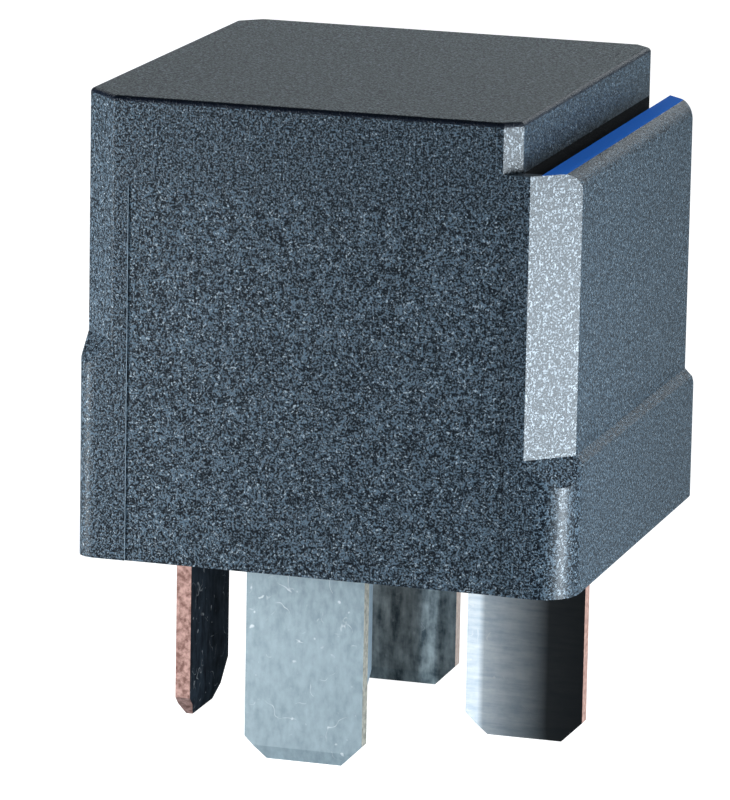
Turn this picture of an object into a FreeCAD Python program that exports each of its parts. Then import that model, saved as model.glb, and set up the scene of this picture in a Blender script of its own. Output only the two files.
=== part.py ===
import FreeCAD, Part

import math
import os
import re

import Sketcher
from FreeCAD import Placement, Rotation, Vector

# A closed plug-in changeover relay with five flat blades, in millimetres.
# Origin: middle of the cover's rim. X runs from terminal 87 to terminal 30,
# Y from terminal 86 to terminal 85, and Z from the blades up to the roof.

doc = FreeCAD.newDocument("plug_in_relay")
sheet = doc.addObject("Spreadsheet::Sheet", "sizes")

SIZES = [
    # cover, outside
    ("cover_width", 26.0, "across X at the rim"),
    ("cover_depth", 26.0, "across Y"),
    ("cover_height", 23.8, "rim to roof"),
    ("skirt_step", 0.4, "how far the right panel sits inside the skirt"),
    ("skirt_corner_left", 1.0, "corner radius of the skirt"),
    ("skirt_corner_right", 2.0, "corner radius of the skirt"),
    ("corner_left_front", 1.9, "corner flat, leg"),
    ("corner_left_back", 1.15, "corner flat, leg"),
    ("corner_right", 2.1, "corner flats on the slot side, leg"),
    ("flat_foot_left", 11.3, "where the left corner flats start"),
    ("flat_foot_right", 7.0, "where the right corner flats start"),
    ("flat_foot_slope", 55.0, "degrees above level of the slopes under the flats"),
    ("roof_edge", 0.25, "radius round the roof"),
    ("flat_border", 0.15, "radius beside the left corner flats"),
    # bracket slot along the right side
    ("slot_rail", 2.7, "roof block's side to the outer panel"),
    ("ledge_drop", 2.55, "roof to the top of the slot"),
    ("slot_gap", 1.02, "slot across X"),
    ("slot_depth", 11.5, "slot along Z"),
    ("slot_front_wall", 0.8, "wall that closes the slot's front end"),
    ("rail_round", 0.9, "radius on the rail's outer edge"),
    ("block_corner", 0.8, "corner flats of the roof block above the ledge"),
    # cover, inside
    ("wall", 1.0, "side wall"),
    ("roof", 1.0, "roof thickness"),
    ("face_margin_left", 2.7, "front recess to the left side"),
    ("face_margin_right", 3.5, "front recess to the right side"),
    ("face_margin_top", 4.5, "front recess to the roof"),
    ("face_recess", 0.08, "depth of the recess in the front"),
    # base plate
    ("base_rise", 0.4, "rim to the underside of the base plate"),
    ("base_thick", 2.0, "base plate"),
    ("base_clear", 0.05, "base plate to cover, each side"),
    ("blade_clear", 0.03, "blade to its slot, each side"),
    ("pad_high", 1.4, "pads that carry the yoke"),
    ("pad_side", 2.4, "pads, square"),
    # blades
    ("blade_wide", 6.3, "blade width"),
    ("blade_thick", 0.8, "blade thickness"),
    ("blade_long", 10.9, "rim to blade tip"),
    ("tip_corner", 1.15, "cut on a blade's lower corners"),
    ("tip_corner_far", 1.9, "larger cut at the back of blades 87 and 87a"),
    ("tip_bevel", 0.22, "lead-in bevel on each face"),
    ("tip_bevel_high", 0.7, "height of the lead-in bevel"),
    ("row_left", 10.45, "middle to blade 87"),
    ("pitch_contacts", 8.0, "blade 87 to blade 87a"),
    ("pitch_row", 17.8, "blade 87 to blade 30"),
    ("pitch_coil", 16.8, "blade 86 to blade 85"),
    ("coil_blade_left", 2.0, "middle to blades 85 and 86"),
    ("shoulder_in", 0.3, "blade shoulder into the base plate"),
    # magnet
    ("yoke_thick", 1.5, "yoke plate"),
    ("yoke_wide", 12.0, "yoke across Y"),
    ("yoke_right", 5.0, "middle of the yoke's back face to the right side, X"),
    ("yoke_foot", 13.2, "lower limb, X"),
    ("yoke_high", 13.9, "underside of the lower limb to the hinge edge"),
    ("core_radius", 3.0, "core shaft"),
    ("core_tenon", 2.1, "riveted end of the core"),
    ("pole_radius", 4.0, "pole face"),
    ("pole_thick", 0.5, "pole face"),
    ("coil_gap", 0.2, "flange to yoke"),
    ("flange_radius", 6.0, "bobbin flange"),
    ("flange_thick", 0.8, "bobbin flange"),
    ("tube_wall", 0.6, "bobbin tube"),
    ("core_clear", 0.05, "core to bobbin, each side"),
    ("winding_in", 0.4, "winding inside the flange's edge"),
    ("winding_clear", 0.03, "winding to bobbin"),
    # armature and its spring
    ("armature_thick", 1.3, "armature"),
    ("armature_wide", 11.0, "armature across Y"),
    ("armature_long", 12.2, "hinge edge to the free end"),
    ("air_gap", 0.05, "armature to pole face when closed"),
    ("open_angle", 3.7, "armature lift at rest, degrees"),
    ("spring_thick", 0.25, "contact spring"),
    ("spring_wide", 7.0, "contact spring over the armature"),
    ("tongue_wide", 4.0, "contact spring's tongue"),
    ("tongue_long", 18.6, "hinge edge to the tongue's end"),
    ("hinge_gap", 0.15, "contact spring to its fixed leg"),
    ("leg_long", 6.5, "spring leg down the back of the yoke"),
    ("leg_clear", 0.06, "leg to the lifted armature"),
    ("leg_jog", 1.2, "height of the leg's step out to the hinge edge"),
    ("leg_round", 0.2, "radius on the leg's upper edge"),
    ("rivet_radius", 0.7, "rivet shank"),
    ("rivet_head", 1.15, "rivet head, radius"),
    ("rivet_high", 0.3, "rivet head, height"),
    ("rivet_pitch", 4.0, "between the two rivets of a pair"),
    ("rivet_back", 4.2, "hinge edge to the armature's rivets"),
    ("leg_rivet_low", 4.2, "hinge edge down to the yoke's rivets"),
    # contacts
    ("contact_reach", 17.0, "hinge edge to the contacts"),
    ("contact_radius", 1.6, "contact head"),
    ("contact_high", 0.55, "contact head, height"),
    ("contact_shank", 0.9, "shank of a contact"),
    ("contact_crown", 5.0, "crown radius of the moving contact"),
    ("contact_gap", 0.04, "clear gap of the touching contacts"),
    ("arm_wide", 3.6, "arms that carry the fixed contacts"),
    # strip of terminal 87a
    ("strip_wide", 2.4, "strip of terminal 87a"),
    ("strip_left", 9.0, "middle to the strip's left edge"),
    ("post_back", 8.4, "middle to the back of the post"),
    # coil terminals and small parts
    ("tongue_high", 10.6, "coil terminal's inner tongue, rim to top"),
    ("lug_wide", 2.4, "coil terminal's inner tongue"),
    ("lead_radius", 0.2, "coil lead"),
    ("lead_high", 7.4, "rim to the coil leads"),
    ("resistor_radius", 1.15, "resistor body"),
    ("resistor_long", 6.2, "resistor body"),
    ("resistor_high", 9.6, "rim to the resistor's axis"),
    ("resistor_left", 7.9, "middle to the resistor's axis"),
    ("wire_radius", 0.28, "resistor lead"),
    ("wire_bend", 0.9, "bend radius of a resistor lead"),
]

for row, (alias, value, note) in enumerate(SIZES, start=1):
    sheet.set(f"A{row}", note)
    sheet.set(f"B{row}", str(value))
    sheet.setAlias(f"B{row}", alias)
doc.recompute()

ALIASES = {alias for alias, _, _ in SIZES}


def formula(text):
    """Writes a formula for the sheet: each size's name gets the sheet's name in front."""

    def in_sheet(match):
        word = match.group()
        return "sizes." + word if word in ALIASES else word

    return re.sub(r"[a-z]\w*", in_sheet, str(text))


def number(text):
    return float(sheet.evalExpression(formula(text)))


def bind(thing, prop, text):
    thing.setExpression(prop, formula(text))


# ---------------------------------------------------------------- places that several pieces share

BLOCK_RIGHT = "(cover_width / 2 - skirt_step - slot_rail)"
LEDGE = "(cover_height - ledge_drop)"
BASE_TOP = "(base_rise + base_thick)"
TIP = "(-blade_long)"
BLADE_87_X = "(-row_left)"
BLADE_87A_X = "(pitch_contacts - row_left)"
BLADE_30_X = "(pitch_row - row_left)"
COIL_BLADE_X = "(-coil_blade_left)"
YOKE_BACK = "(cover_width / 2 - yoke_right)"
YOKE_IN = f"({YOKE_BACK} - yoke_thick)"
YOKE_LOW = f"({BASE_TOP} + pad_high)"
YOKE_TOP = f"({YOKE_LOW} + yoke_high)"
COIL_X = f"({YOKE_IN} - coil_gap - flange_radius)"
COIL_LOW = f"({YOKE_LOW} + yoke_thick)"
HINGE_Z = f"({YOKE_TOP} + air_gap)"
CONTACT_X = f"({YOKE_BACK} - contact_reach)"
SPRING_LOW = "armature_thick"
LOWER_HEAD = "(armature_thick - contact_high)"
NO_TOP = f"({HINGE_Z} + {LOWER_HEAD} - contact_gap)"
UPPER_HEAD = "(armature_thick + spring_thick + contact_high)"
LIFT = "contact_reach * sin(open_angle * 1 deg)"
NC_LOW = f"({HINGE_Z} + {LIFT} + {UPPER_HEAD} * cos(open_angle * 1 deg) + contact_gap)"


# ---------------------------------------------------------------- helpers


def new_body(label):
    body = doc.addObject("PartDesign::Body", label)
    body.Label = label
    return body


def sketch_on(body, plane, along):
    """A sketch on one of the body's own planes, moved along that plane's normal."""
    sketch = body.newObject("Sketcher::SketchObject", f"{body.Label}_outline")
    origin_plane = next(f for f in body.Origin.OriginFeatures if f.Role == plane + "_Plane")
    sketch.AttachmentSupport = (origin_plane, [""])
    sketch.MapMode = "FlatFace"
    bind(sketch, "AttachmentOffset.Base.z", along)
    return sketch


def arc_through(start, end, radius):
    """The shorter arc from start to end. A positive radius bulges to the right of the way there."""
    chord = end - start
    middle = (start + end) * 0.5
    side = Vector(chord.y, -chord.x, 0).normalize()
    half = chord.Length / 2
    rise = abs(radius) - math.sqrt(max(radius * radius - half * half, 0))
    return Part.Arc(start, middle + side * math.copysign(rise, radius), end)


def draw_outline(sketch, corners):
    """A closed outline. A corner is two formulas, and a third one rounds the way to the next corner."""
    places = [Vector(number(c[0]), number(c[1]), 0) for c in corners]
    count = len(corners)
    starts = []
    for i, corner in enumerate(corners):
        start, end = places[i], places[(i + 1) % count]
        if len(corner) == 3:
            arc = arc_through(start, end, number(corner[2]))
            sketch.addGeometry(arc, False)
            turns_left = number(corner[2]) > 0
            starts.append((1, 2) if turns_left else (2, 1))
            held = sketch.addConstraint(Sketcher.Constraint("Radius", i, abs(number(corner[2]))))
            sketch.setExpression(f"Constraints[{held}]", formula(f"abs({corner[2]})"))
        else:
            sketch.addGeometry(Part.LineSegment(start, end), False)
            starts.append((1, 2))
    for i in range(count):
        after = (i + 1) % count
        sketch.addConstraint(Sketcher.Constraint("Coincident", i, starts[i][1], after, starts[after][0]))
    for i, corner in enumerate(corners):
        ways = (("DistanceX", corner[0], places[i].x), ("DistanceY", corner[1], places[i].y))
        for way, text, value in ways:
            held = sketch.addConstraint(Sketcher.Constraint(way, -1, 1, i, starts[i][0], value))
            sketch.setExpression(f"Constraints[{held}]", formula(text))


def pad(body, plane, corners, low, high):
    """Adds the outline's prism between two places along the plane's axis."""
    facing_back = plane == "XZ"
    sketch = sketch_on(body, plane, f"-({high})" if facing_back else low)
    draw_outline(sketch, corners)
    feature = body.newObject("PartDesign::Pad", f"{body.Label}_pad")
    feature.Profile = sketch
    bind(feature, "Length", f"({high}) - ({low})")
    return feature


def pocket(body, plane, corners, low, high):
    """Cuts the outline's prism between two places along the plane's axis."""
    doc.recompute()
    before = body.Shape.Volume
    facing_back = plane == "XZ"
    sketch = sketch_on(body, plane, f"-({low})" if facing_back else high)
    draw_outline(sketch, corners)
    feature = body.newObject("PartDesign::Pocket", f"{body.Label}_pocket")
    feature.Profile = sketch
    bind(feature, "Length", f"({high}) - ({low})")
    doc.recompute()
    if body.Shape.Volume >= before:
        raise ValueError(f"{feature.Label} cuts nothing")
    return feature


def rectangle(left, right, low, high):
    return [(left, low), (right, low), (right, high), (left, high)]


def square_about(x_text, y_text, half_x, half_y):
    left, right = f"{x_text} - {half_x}", f"{x_text} + {half_x}"
    return rectangle(left, right, f"{y_text} - {half_y}", f"{y_text} + {half_y}")


def octagon(left, right, front, back, corners):
    """A rectangle whose corners are cut at 45 degrees, legs from front left round to back left."""
    a, b, c, d = corners
    return [
        (f"({left}) + ({a})", front),
        (f"({right}) - ({b})", front),
        (right, f"({front}) + ({b})"),
        (right, f"({back}) - ({c})"),
        (f"({right}) - ({c})", back),
        (f"({left}) + ({d})", back),
        (left, f"({back}) - ({d})"),
        (left, f"({front}) + ({a})"),
    ]


def edges_where(shape, wanted):
    """Names of the edges that a test on their two ends picks."""
    names = []
    for i, edge in enumerate(shape.Edges, start=1):
        ends = [v.Point for v in edge.Vertexes]
        if len(ends) == 2 and wanted(ends[0], ends[1]):
            names.append(f"Edge{i}")
    return names


def dress(body, kind, wanted, size):
    """A fillet or chamfer on the picked edges of the body as it is now."""
    doc.recompute()
    base = body.Tip
    names = edges_where(base.Shape, wanted)
    if not names:
        raise ValueError(f"{body.Label}: no edge to dress")
    feature = body.newObject(f"PartDesign::{kind}", f"{body.Label}_{kind.lower()}")
    feature.Base = (base, names)
    bind(feature, "Radius" if kind == "Fillet" else "Size", size)
    return feature


def near(a, b):
    return abs(a - b) < 1e-4


def cylinder(label, radius, height, x, y, z, along=Vector(0, 0, 1)):
    """A round bar from a place along an axis."""
    bar = doc.addObject("Part::Cylinder", label)
    bar.Placement = Placement(Vector(), Rotation(Vector(0, 0, 1), along))
    bind(bar, "Radius", radius)
    bind(bar, "Height", height)
    for axis, text in (("x", x), ("y", y), ("z", z)):
        bind(bar, f"Placement.Base.{axis}", text)
    return bar


def fused(label, shapes):
    whole = doc.addObject("Part::MultiFuse", label)
    whole.Label = label
    whole.Shapes = shapes
    return whole


def grouped(label, shapes):
    """Several solids that stay apart and share one node."""
    group = doc.addObject("Part::Compound", label)
    group.Label = label
    group.Links = shapes
    return group


def hang_on_hinge(thing):
    """Puts a piece drawn round the hinge edge in its place, lifted to the rest angle."""
    thing.Placement = Placement(Vector(), Rotation(Vector(0, 1, 0), number("open_angle")))
    bind(thing, "Placement.Base.x", YOKE_BACK)
    bind(thing, "Placement.Base.z", HINGE_Z)
    bind(thing, "Placement.Rotation.Angle", "open_angle * 1 deg")


# ---------------------------------------------------------------- cover


def corner_flat(body, leg, foot, x_side, y_side):
    """Cuts one upright corner flat. It ends in a slope that runs out to the skirt's corner."""
    doc.recompute()
    before = body.Shape.Volume
    sketch = body.newObject("Sketcher::SketchObject", "corner_flat_outline")
    origin_plane = next(f for f in body.Origin.OriginFeatures if f.Role == "XZ_Plane")
    sketch.AttachmentSupport = (origin_plane, [""])
    sketch.MapMode = "FlatFace"
    # the sketch stands upright on the corner's diagonal, its first axis pointing outwards
    turn = math.degrees(math.atan2(y_side, x_side))
    sketch.AttachmentOffset = Placement(Vector(), Rotation(Vector(0, 1, 0), turn))
    bind(sketch, "AttachmentOffset.Base.x", f"{x_side} * cover_width / 2")
    bind(sketch, "AttachmentOffset.Base.z", f"{-y_side} * cover_depth / 2")
    inner = f"-({leg}) / sqrt(2)"
    run_out = f"({inner} + 4)"
    draw_outline(
        sketch,
        [
            (inner, foot),
            (run_out, f"({foot}) - 4 * tan(flat_foot_slope * 1 deg)"),
            (run_out, "cover_height + 2"),
            (inner, "cover_height + 2"),
        ],
    )
    cut = body.newObject("PartDesign::Pocket", "corner_flat")
    cut.Profile = sketch
    cut.Midplane = True
    cut.Length = 30
    doc.recompute()
    if body.Shape.Volume >= before:
        raise ValueError("a corner flat cuts nothing")


def make_cover():
    cover = new_body("cover")
    half_x, half_y = "cover_width / 2", "cover_depth / 2"
    r_left, r_right = "skirt_corner_left", "skirt_corner_right"
    pad(
        cover,
        "XY",
        [
            (f"-{half_x} + {r_left}", f"-{half_y}"),
            (f"{half_x} - {r_right}", f"-{half_y}", r_right),
            (half_x, f"-{half_y} + {r_right}"),
            (half_x, f"{half_y} - {r_right}", r_right),
            (f"{half_x} - {r_right}", half_y),
            (f"-{half_x} + {r_left}", half_y, r_left),
            (f"-{half_x}", f"{half_y} - {r_left}"),
            (f"-{half_x}", f"-{half_y} + {r_left}", r_left),
        ],
        "0",
        "cover_height",
    )
    # everything right of the roof block, above the rail, and outside the panel above the skirt
    panel = f"({half_x} - skirt_step)"
    outside = f"({half_x} + 2)"
    pocket(
        cover,
        "XZ",
        [
            (BLOCK_RIGHT, "cover_height + 2"),
            (BLOCK_RIGHT, LEDGE),
            (f"{panel} - rail_round", LEDGE, "-rail_round"),
            (panel, f"{LEDGE} - rail_round"),
            (panel, "flat_foot_right"),
            (outside, "flat_foot_right - 2 - skirt_step"),
            (outside, "cover_height + 2"),
        ],
        f"-{half_y} - 1",
        f"{half_y} + 1",
    )
    corner_flat(cover, "corner_left_front", "flat_foot_left", -1, -1)
    corner_flat(cover, "corner_left_back", "flat_foot_left", -1, 1)
    corner_flat(cover, "corner_right + skirt_step", "flat_foot_right", 1, -1)
    corner_flat(cover, "corner_right + skirt_step", "flat_foot_right", 1, 1)
    block_right = number(BLOCK_RIGHT)
    ledge = number(LEDGE)
    top = number("cover_height")

    def block_corner(a, b):
        upright = abs(a.z - b.z) > 1 and min(a.z, b.z) > ledge - 0.1
        return upright and near(a.x, block_right) and near(b.x, block_right)

    dress(cover, "Chamfer", block_corner, "block_corner")
    foot = number("flat_foot_left")
    front = number("cover_depth / 2")
    left = number("cover_width / 2")

    def flat_border(a, b):
        upright = near(a.x, b.x) and near(a.y, b.y) and min(a.z, b.z) > foot - 0.1 and abs(a.z - b.z) > 5
        return upright and a.x < 0 and (near(abs(a.y), front) or near(a.x, -left))

    dress(cover, "Fillet", flat_border, "flat_border")
    dress(cover, "Fillet", lambda a, b: near(a.z, top) and near(b.z, top), "roof_edge")
    # inside of the roof block, then the wider mouth below the bracket slot
    cavity = octagon(
        f"-{half_x} + wall",
        f"{BLOCK_RIGHT} - wall",
        f"-{half_y} + wall",
        f"{half_y} - wall",
        ("corner_left_front", "block_corner", "block_corner", "corner_left_back"),
    )
    pocket(cover, "XY", cavity, "0", "cover_height - roof")
    slot_floor = f"({LEDGE} - slot_depth)"
    mouth = octagon(
        f"-{half_x} + wall",
        f"{panel} - wall",
        f"-{half_y} + wall",
        f"{half_y} - wall",
        ("corner_left_front", "corner_right", "corner_right", "corner_left_back"),
    )
    pocket(cover, "XY", mouth, "0", f"{slot_floor} - wall")
    # the slot's inner wall is led in at the open back end, level with the roof block's own corner flat
    slot = [
        (BLOCK_RIGHT, f"-{half_y} + slot_front_wall"),
        (f"{BLOCK_RIGHT} + slot_gap", f"-{half_y} + slot_front_wall"),
        (f"{BLOCK_RIGHT} + slot_gap", f"{half_y} + 1"),
        (f"{BLOCK_RIGHT} - block_corner - 1", f"{half_y} + 1"),
        (BLOCK_RIGHT, f"{half_y} - block_corner"),
    ]
    pocket(cover, "XY", slot, slot_floor, LEDGE)
    face = rectangle(
        f"-{half_x} + face_margin_left",
        f"{half_x} - face_margin_right",
        "-1",
        "cover_height - face_margin_top",
    )
    pocket(cover, "XZ", face, f"-{half_y} - 1", f"-{half_y} + face_recess")
    return cover


# ---------------------------------------------------------------- base plate


def blade_slots():
    """Outlines of the five slots in the base plate: place of the blade, and whether it lies along X."""
    half_pitch = "(pitch_coil / 2)"
    return [
        (COIL_BLADE_X, f"-{half_pitch}", True),
        (COIL_BLADE_X, half_pitch, True),
        (BLADE_30_X, "0", True),
        (BLADE_87_X, "0", False),
        (BLADE_87A_X, "0", False),
    ]


def make_base_plate():
    base = new_body("base_plate")
    half_x, half_y = "cover_width / 2", "cover_depth / 2"
    gap = "(wall + base_clear)"
    plate = octagon(
        f"-{half_x} + {gap}",
        f"{half_x} - skirt_step - {gap}",
        f"-{half_y} + {gap}",
        f"{half_y} - {gap}",
        ("corner_left_front", "corner_right", "corner_right", "corner_left_back"),
    )
    pad(base, "XY", plate, "base_rise", BASE_TOP)
    for x_text in (f"{YOKE_BACK} - yoke_foot + pad_side / 2", f"{YOKE_BACK} - pad_side / 2"):
        for y_side in (-1, 1):
            y_text = f"{y_side} * (yoke_wide - pad_side) / 2"
            sides = square_about(x_text, y_text, "pad_side / 2", "pad_side / 2")
            pad(base, "XY", sides, f"{BASE_TOP} - 0.2", YOKE_LOW)
    long_half = "(blade_wide / 2 - shoulder_in + blade_clear)"
    thick_half = "(blade_thick / 2 + blade_clear)"
    for x_text, y_text, along_x in blade_slots():
        halves = (long_half, thick_half) if along_x else (thick_half, long_half)
        pocket(base, "XY", square_about(x_text, y_text, *halves), "base_rise", BASE_TOP)
    return base


# ---------------------------------------------------------------- terminals


def blade(body, plane, middle, face, far_cut="tip_corner"):
    """The blade below the base plate, with cut corners and a bevelled tip, and its neck through the plate."""
    low, high = f"{face} - blade_thick / 2", f"{face} + blade_thick / 2"
    left, right = f"{middle} - blade_wide / 2", f"{middle} + blade_wide / 2"
    pad(
        body,
        plane,
        [
            (f"{left} + tip_corner", TIP),
            (f"{right} - {far_cut}", TIP),
            (right, f"{TIP} + {far_cut}"),
            (right, "base_rise"),
            (left, "base_rise"),
            (left, f"{TIP} + tip_corner"),
        ],
        low,
        high,
    )
    tip = number(TIP)
    dress(body, "Chamfer", lambda a, b: near(a.z, tip) and near(b.z, tip) and (a - b).Length > 1, "tip_bevel")
    body.Tip.ChamferType = "Two distances"
    # the bevel is long and shallow: its second leg runs up the blade
    bind(body.Tip, "Size2", "tip_bevel_high")
    neck = rectangle(f"{left} + shoulder_in", f"{right} - shoulder_in", "base_rise - 0.1", BASE_TOP)
    pad(body, plane, neck, low, high)


def coil_terminal(label, y_side):
    terminal = new_body(label)
    face = f"({y_side} * pitch_coil / 2)"
    blade(terminal, "XZ", COIL_BLADE_X, face)
    left, right = f"{COIL_BLADE_X} - lug_wide / 2", f"{COIL_BLADE_X} + lug_wide / 2"
    lug = rectangle(left, right, f"{BASE_TOP} - 0.1", "tongue_high")
    pad(terminal, "XZ", lug, f"{face} - blade_thick / 2", f"{face} + blade_thick / 2")
    return terminal


def make_terminal_30():
    """The common terminal. Its tongue stands in a slot of the yoke's lower limb."""
    terminal = new_body("terminal_30")
    blade(terminal, "XZ", BLADE_30_X, "0")
    tongue = rectangle(f"{YOKE_IN} - 2.6", f"{YOKE_IN} - 0.2", BASE_TOP, COIL_LOW)
    pad(terminal, "XZ", tongue, "-blade_thick / 2", "blade_thick / 2")
    return terminal


def make_terminal_87():
    """The normally open terminal: a straight post whose head folds in under the moving contact."""
    terminal = new_body("terminal_87")
    blade(terminal, "YZ", "0", BLADE_87_X, "tip_corner_far")
    arm_top = f"({NO_TOP} - contact_high)"
    post = rectangle("-arm_wide / 2", "arm_wide / 2", f"{BASE_TOP} - 0.1", arm_top)
    outer = f"{BLADE_87_X} - blade_thick / 2"
    pad(terminal, "YZ", post, outer, f"{BLADE_87_X} + blade_thick / 2")
    arm = rectangle(outer, f"{CONTACT_X} + contact_radius", "-arm_wide / 2", "arm_wide / 2")
    pad(terminal, "XY", arm, f"{arm_top} - blade_thick", arm_top)
    return terminal


def make_terminal_87a():
    """The normally closed terminal: a strip on the base plate, a post behind, an arm over the contact."""
    terminal = new_body("terminal_87a")
    blade(terminal, "YZ", "0", BLADE_87A_X, "tip_corner_far")
    strip_top = f"({BASE_TOP} + blade_thick)"
    edge = "(strip_left - strip_wide)"
    strip = [
        (f"{BLADE_87A_X} + blade_thick / 2", "-strip_wide / 2"),
        (f"{BLADE_87A_X} + blade_thick / 2", "strip_wide / 2"),
        (f"-{edge}", "strip_wide / 2"),
        (f"-{edge}", "post_back"),
        ("-strip_left", "post_back"),
        ("-strip_left", "-strip_wide / 2"),
    ]
    pad(terminal, "XY", strip, BASE_TOP, strip_top)
    arm_low = f"({NC_LOW} + contact_high)"
    outer, inner = f"{CONTACT_X} - strip_wide / 2", f"{CONTACT_X} + strip_wide / 2"
    post = rectangle(outer, f"-{edge}", BASE_TOP, f"{arm_low} + blade_thick")
    pad(terminal, "XZ", post, "post_back - blade_thick", "post_back")
    arm = rectangle(outer, inner, "-strip_wide / 2 - 0.6", "post_back")
    pad(terminal, "XY", arm, arm_low, f"{arm_low} + blade_thick")
    return terminal


# ---------------------------------------------------------------- magnet


def make_yoke():
    yoke = new_body("yoke")
    left = f"({YOKE_BACK} - yoke_foot)"
    side = [
        (left, YOKE_LOW),
        (YOKE_BACK, YOKE_LOW),
        (YOKE_BACK, YOKE_TOP),
        (YOKE_IN, YOKE_TOP),
        (YOKE_IN, COIL_LOW),
        (left, COIL_LOW),
    ]
    pad(yoke, "XZ", side, "-yoke_wide / 2", "yoke_wide / 2")
    notch = rectangle(f"{YOKE_IN} - 2.6", f"{YOKE_IN} - 0.2", "-blade_thick / 2", "blade_thick / 2")
    pocket(yoke, "XY", notch, f"{YOKE_LOW} - 0.5", COIL_LOW)
    hole = yoke.newObject("PartDesign::SubtractiveCylinder", "core_hole")
    bind(hole, "Radius", "core_tenon")
    bind(hole, "Height", "yoke_thick + 1")
    hole.AttachmentSupport = (next(f for f in yoke.Origin.OriginFeatures if f.Role == "XY_Plane"), [""])
    hole.MapMode = "FlatFace"
    bind(hole, "AttachmentOffset.Base.x", COIL_X)
    bind(hole, "AttachmentOffset.Base.z", f"{YOKE_LOW} - 0.5")
    return yoke


def make_core():
    tenon = cylinder("core_tenon_bar", "core_tenon", "yoke_thick", COIL_X, "0", YOKE_LOW)
    shaft_long = f"{YOKE_TOP} - {COIL_LOW} - pole_thick"
    shaft = cylinder("core_shaft", "core_radius", shaft_long, COIL_X, "0", COIL_LOW)
    pole = cylinder("core_pole", "pole_radius", "pole_thick", COIL_X, "0", f"{YOKE_TOP} - pole_thick")
    return fused("core", [tenon, shaft, pole])


BOBBIN_LOW = f"({COIL_LOW} + core_clear)"
BOBBIN_TOP = f"({YOKE_TOP} - pole_thick - core_clear)"
TUBE_RADIUS = "(core_radius + core_clear + tube_wall)"


def ring(label, outer, inner, low, high):
    """A round collar about the coil's axis."""
    solid = cylinder(f"{label}_outside", outer, f"{high} - {low}", COIL_X, "0", low)
    bore = cylinder(f"{label}_bore", inner, f"{high} - {low} + 2", COIL_X, "0", f"{low} - 1")
    collar = doc.addObject("Part::Cut", label)
    collar.Label = label
    collar.Base = solid
    collar.Tool = bore
    return collar


def make_bobbin():
    bore = "(core_radius + core_clear)"
    foot = ring("bobbin_foot", "flange_radius", bore, BOBBIN_LOW, f"({BOBBIN_LOW} + flange_thick)")
    head = ring("bobbin_head", "flange_radius", bore, f"({BOBBIN_TOP} - flange_thick)", BOBBIN_TOP)
    tube_low = f"({BOBBIN_LOW} + flange_thick / 2)"
    tube_top = f"({BOBBIN_TOP} - flange_thick / 2)"
    tube = ring("bobbin_tube", TUBE_RADIUS, bore, tube_low, tube_top)
    return fused("bobbin", [foot, tube, head])


def make_winding():
    low = f"({BOBBIN_LOW} + flange_thick + winding_clear)"
    high = f"({BOBBIN_TOP} - flange_thick - winding_clear)"
    return ring("winding", "(flange_radius - winding_in)", f"({TUBE_RADIUS} + winding_clear)", low, high)


# ---------------------------------------------------------------- armature and contacts


def make_armature():
    """The flap over the pole, drawn closed about the hinge edge at its own origin."""
    armature = new_body("armature")
    flap = rectangle("-armature_long", "0", "-armature_wide / 2", "armature_wide / 2")
    pad(armature, "XY", flap, "0", "armature_thick")
    for y_side in (-1, 1):
        place = f"{y_side} * rivet_pitch / 2"
        round_hole(armature, "-rivet_back", place, "rivet_radius", "-0.5", "armature_thick + 0.5")
    hang_on_hinge(armature)
    return armature


def round_hole(body, x_text, y_text, radius, low, high):
    hole = body.newObject("PartDesign::SubtractiveCylinder", f"{body.Label}_hole")
    bind(hole, "Radius", radius)
    bind(hole, "Height", f"({high}) - ({low})")
    hole.AttachmentSupport = (next(f for f in body.Origin.OriginFeatures if f.Role == "XY_Plane"), [""])
    hole.MapMode = "FlatFace"
    bind(hole, "AttachmentOffset.Base.x", x_text)
    bind(hole, "AttachmentOffset.Base.y", y_text)
    bind(hole, "AttachmentOffset.Base.z", low)


def make_contact_spring():
    """The leaf on the armature. Its narrow tongue carries the moving contact."""
    spring = new_body("contact_spring")
    wide, narrow = "(spring_wide / 2)", "(tongue_wide / 2)"
    leaf = [
        ("-hinge_gap", f"-{wide}"),
        ("-hinge_gap", wide),
        ("-armature_long + 1", wide),
        ("-armature_long - 0.5", narrow),
        ("-tongue_long", narrow),
        ("-tongue_long", f"-{narrow}"),
        ("-armature_long - 0.5", f"-{narrow}"),
        ("-armature_long + 1", f"-{wide}"),
    ]
    pad(spring, "XY", leaf, SPRING_LOW, f"{SPRING_LOW} + spring_thick")
    for y_side in (-1, 1):
        place = f"{y_side} * rivet_pitch / 2"
        round_hole(spring, "-rivet_back", place, "rivet_radius", "0", "armature_thick + spring_thick + 0.5")
    round_hole(spring, "-contact_reach", "0", "contact_shank", "0", "armature_thick + spring_thick + 0.5")
    hang_on_hinge(spring)
    return spring


def make_armature_rivets():
    rivets = []
    top = "armature_thick + spring_thick"
    for y_side, name in ((-1, "front"), (1, "back")):
        place = f"{y_side} * rivet_pitch / 2"
        shank = cylinder(f"armature_rivet_shank_{name}", "rivet_radius", top, "-rivet_back", place, "0")
        head = cylinder(f"armature_rivet_head_{name}", "rivet_head", "rivet_high", "-rivet_back", place, top)
        rivets.append(fused(f"armature_rivet_{name}", [shank, head]))
    group = grouped("armature_rivets", rivets)
    hang_on_hinge(group)
    return group


def crowned_head(name, x_text, low, high, crown_up):
    """A round contact head with a shallow crown on its working face."""
    disc = cylinder(f"{name}_disc", "contact_radius", f"{high} - {low}", x_text, "0", low)
    ball = doc.addObject("Part::Sphere", f"{name}_ball")
    bind(ball, "Radius", "contact_crown")
    bind(ball, "Placement.Base.x", x_text)
    bind(ball, "Placement.Base.z", f"{high} - contact_crown" if crown_up else f"{low} + contact_crown")
    head = doc.addObject("Part::Common", f"{name}_head")
    head.Base = disc
    head.Tool = ball
    return head


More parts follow.
